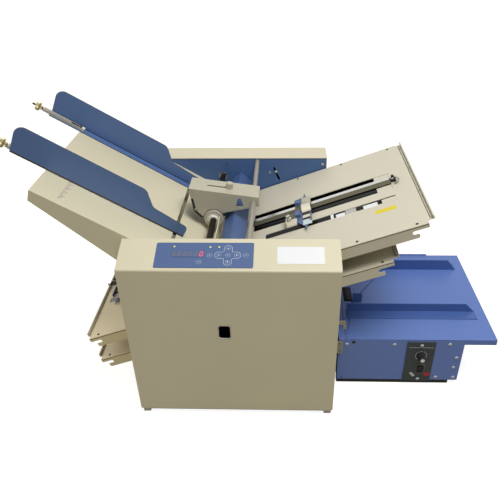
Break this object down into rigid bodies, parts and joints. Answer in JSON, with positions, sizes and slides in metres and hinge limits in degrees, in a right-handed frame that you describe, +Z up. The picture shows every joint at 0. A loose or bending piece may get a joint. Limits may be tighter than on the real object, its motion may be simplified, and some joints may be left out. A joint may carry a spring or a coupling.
{
  "type": "paper folding machine",
  "caption": "Desktop buckle folding machine with a sloping feed table, side guides, separator arm, slanted fold plates with sliding stops, and a delivery tray.",
  "frame": {"origin": "centre of the machine's bounding box in X and Y, on the surface it stands on", "axes": "+X from the feed side to the delivery side, +Y from the control side to the back, +Z up"},
  "size_m": [0.9866, 0.5048, 0.5703],
  "materials": {
    "beige": "satin enamel",
    "blue": "satin enamel",
    "dark": "black, matt",
    "steel": "bright",
    "chrome": "polished",
    "brass": "knurled",
    "rubber_black": "matt",
    "rubber_grey": "matt",
    "rubber_beige": "matt",
    "film": "printed film",
    "screen": "tinted window",
    "black_plastic": "moulded",
    "dark_plate": "matt"
  },
  "bodies": {
    "machine": {"front_cover": "beige", "rear_cover": "beige", "front_side_frame": "blue", "rear_side_frame": "blue", "base_plate": "dark", "corner_feet": "rubber_grey", "tie_rods": "steel", "arm_pivot_rod": "beige", "shaft_bushes": "steel", "plate_studs": "steel", "roller_guard": "blue", "control_panel": "film", "display_window": "screen", "feed_table": "beige", "drive_belts": "rubber_black", "drive_motor": "dark", "plate_end_bars": "beige", "stop_rails": "chrome", "delivery_box": "blue", "delivery_top": "blue", "delivery_base_strips": "rubber_black", "delivery_motor": "dark", "speed_plate": "dark_plate", "case_screws": "steel", "docking_brackets": "beige", "fold_plate_1": "beige", "fold_plate_2": "beige", "fold_plate_3": "beige", "fold_plate_4": "beige"},
    "arm": {"separator_arm": "beige", "separator_strip": "rubber_black"},
    "arm_knob": {"separator_knob": "beige"},
    "feed_roller": {"feed_shaft": "dark", "feed_wheel": "rubber_beige"},
    "motor_rotor": {"motor_pulley": "steel"},
    "delivery_roller": {"delivery_roller": "rubber_black"},
    "speed_knob": {"speed_knob": "black_plastic"},
    "power_rocker": {"power_rocker": "black_plastic"},
    "front_rail": {"front_delivery_rail": "blue"},
    "rear_rail": {"rear_delivery_rail": "blue"},
    "roller_1": {"fold_roller_1": "rubber_black"},
    "roller_2": {"fold_roller_2": "rubber_black"},
    "roller_3": {"fold_roller_3": "rubber_black"},
    "roller_4": {"fold_roller_4": "rubber_black"},
    "roller_5": {"fold_roller_5": "rubber_black"},
    "roller_6": {"fold_roller_6": "rubber_black"},
    "front_guide": {"front_side_guide": "blue", "front_adjuster_bar": "steel"},
    "front_adjuster": {"front_adjuster_knob": "brass"},
    "rear_guide": {"rear_side_guide": "blue", "rear_adjuster_bar": "steel"},
    "rear_adjuster": {"rear_adjuster_knob": "brass"},
    "stop_1": {"stop_carriage_1": "beige"},
    "stop_1_screw": {"stop_knob_1": "steel"},
    "stop_2": {"stop_carriage_2": "beige"},
    "stop_2_screw": {"stop_knob_2": "steel"},
    "stop_3": {"stop_carriage_3": "beige"},
    "stop_3_screw": {"stop_knob_3": "steel"},
    "stop_4": {"stop_carriage_4": "beige"},
    "stop_4_screw": {"stop_knob_4": "steel"}
  },
  "joints": [
    {"name": "arm_swing", "type": "hinge", "parent": "machine", "child": "arm", "pos_m": [-0.01686, 0.0004, 0.38], "axis": [0, 1, 0], "range_deg": [0, 65]},
    {"name": "arm_knob_slide", "type": "slide", "parent": "arm", "child": "arm_knob", "axis": [-0.9896, 0, 0.144], "range_m": [-0.004, 0.042]},
    {"name": "feed_spin", "type": "hinge", "parent": "machine", "child": "feed_roller", "pos_m": [-0.10136, 0.0004, 0.342], "axis": [0, 1, 0], "continuous": true},
    {"name": "roller_1_spin", "type": "hinge", "parent": "machine", "child": "roller_1", "pos_m": [-0.05781, 0.0004, 0.29002], "axis": [0, 1, 0], "continuous": true},
    {"name": "roller_2_spin", "type": "hinge", "parent": "machine", "child": "roller_2", "pos_m": [-0.04755, 0.0004, 0.26183], "axis": [0, 1, 0], "continuous": true},
    {"name": "roller_3_spin", "type": "hinge", "parent": "machine", "child": "roller_3", "pos_m": [-0.03729, 0.0004, 0.23364], "axis": [0, 1, 0], "continuous": true},
    {"name": "roller_4_spin", "type": "hinge", "parent": "machine", "child": "roller_4", "pos_m": [-0.02703, 0.0004, 0.20544], "axis": [0, 1, 0], "continuous": true},
    {"name": "roller_5_spin", "type": "hinge", "parent": "machine", "child": "roller_5", "pos_m": [-0.01677, 0.0004, 0.17725], "axis": [0, 1, 0], "continuous": true},
    {"name": "roller_6_spin", "type": "hinge", "parent": "machine", "child": "roller_6", "pos_m": [-0.02706, 0.0004, 0.1494], "axis": [0, 1, 0], "continuous": true},
    {"name": "motor_spin", "type": "hinge", "parent": "machine", "child": "motor_rotor", "pos_m": [-0.13086, 0.0004, 0.064], "axis": [0, 1, 0], "continuous": true},
    {"name": "front_guide_slide", "type": "slide", "parent": "machine", "child": "front_guide", "axis": [0, 1, 0], "range_m": [-0.06, 0.055]},
    {"name": "front_adjuster_turn", "type": "hinge", "parent": "front_guide", "child": "front_adjuster", "pos_m": [-0.47167, -0.0896, 0.53607], "axis": [0.8554, 0, -0.518], "continuous": true},
    {"name": "rear_guide_slide", "type": "slide", "parent": "machine", "child": "rear_guide", "axis": [0, 1, 0], "range_m": [-0.055, 0.05]},
    {"name": "rear_adjuster_turn", "type": "hinge", "parent": "rear_guide", "child": "rear_adjuster", "pos_m": [-0.47851, 0.1088, 0.54022], "axis": [0.8554, 0, -0.518], "continuous": true},
    {"name": "stop_1_slide", "type": "slide", "parent": "machine", "child": "stop_1", "axis": [0.9397, 0, 0.342], "range_m": [-0.089, 0.17]},
    {"name": "stop_1_screw_turn", "type": "hinge", "parent": "stop_1", "child": "stop_1_screw", "pos_m": [0.06148, -0.0314, 0.33184], "axis": [-0.342, 0, 0.9397], "range_deg": [-360, 360]},
    {"name": "stop_2_slide", "type": "slide", "parent": "machine", "child": "stop_2", "axis": [-0.9397, 0, -0.342], "range_m": [-0.224, 0.008]},
    {"name": "stop_2_screw_turn", "type": "hinge", "parent": "stop_2", "child": "stop_2_screw", "pos_m": [-0.29294, -0.0314, 0.1624], "axis": [-0.342, 0, 0.9397], "range_deg": [-360, 360]},
    {"name": "stop_3_slide", "type": "slide", "parent": "machine", "child": "stop_3", "axis": [0.9397, 0, 0.342], "range_m": [-0.072, 0.1085]},
    {"name": "stop_3_screw_turn", "type": "hinge", "parent": "stop_3", "child": "stop_3_screw", "pos_m": [0.06589, -0.0314, 0.27002], "axis": [-0.342, 0, 0.9397], "range_deg": [-360, 360]},
    {"name": "stop_4_slide", "type": "slide", "parent": "machine", "child": "stop_4", "axis": [-0.9397, 0, -0.342], "range_m": [-0.078, 0.16]},
    {"name": "stop_4_screw_turn", "type": "hinge", "parent": "stop_4", "child": "stop_4_screw", "pos_m": [-0.13543, -0.0314, 0.15652], "axis": [-0.342, 0, 0.9397], "range_deg": [-360, 360]},
    {"name": "front_rail_slide", "type": "slide", "parent": "machine", "child": "front_rail", "axis": [0, 1, 0], "range_m": [-0.06, 0.03]},
    {"name": "rear_rail_slide", "type": "slide", "parent": "machine", "child": "rear_rail", "axis": [0, 1, 0], "range_m": [-0.06, 0.035]},
    {"name": "delivery_roller_spin", "type": "hinge", "parent": "machine", "child": "delivery_roller", "pos_m": [0.19514, -0.0054, 0.1186], "axis": [0, 1, 0], "continuous": true},
    {"name": "speed_knob_turn", "type": "hinge", "parent": "machine", "child": "speed_knob", "pos_m": [0.34014, -0.1609, 0.084], "axis": [0, 1, 0], "range_deg": [-140, 140]},
    {"name": "power_rocker_tilt", "type": "hinge", "parent": "machine", "child": "power_rocker", "pos_m": [0.34244, -0.15845, 0.0459], "axis": [1, 0, 0], "range_deg": [-16, 0]}
  ],
  "couplings": [
    {"joint": "roller_1_spin", "follows": "roller_3_spin", "ratio": 1},
    {"joint": "roller_2_spin", "follows": "roller_3_spin", "ratio": -1},
    {"joint": "roller_4_spin", "follows": "roller_3_spin", "ratio": -1},
    {"joint": "roller_5_spin", "follows": "roller_3_spin", "ratio": 1},
    {"joint": "roller_6_spin", "follows": "roller_3_spin", "ratio": -1},
    {"joint": "motor_spin", "follows": "roller_3_spin", "ratio": 1.8333},
    {"joint": "feed_spin", "follows": "roller_3_spin", "ratio": 0.75}
  ]
}
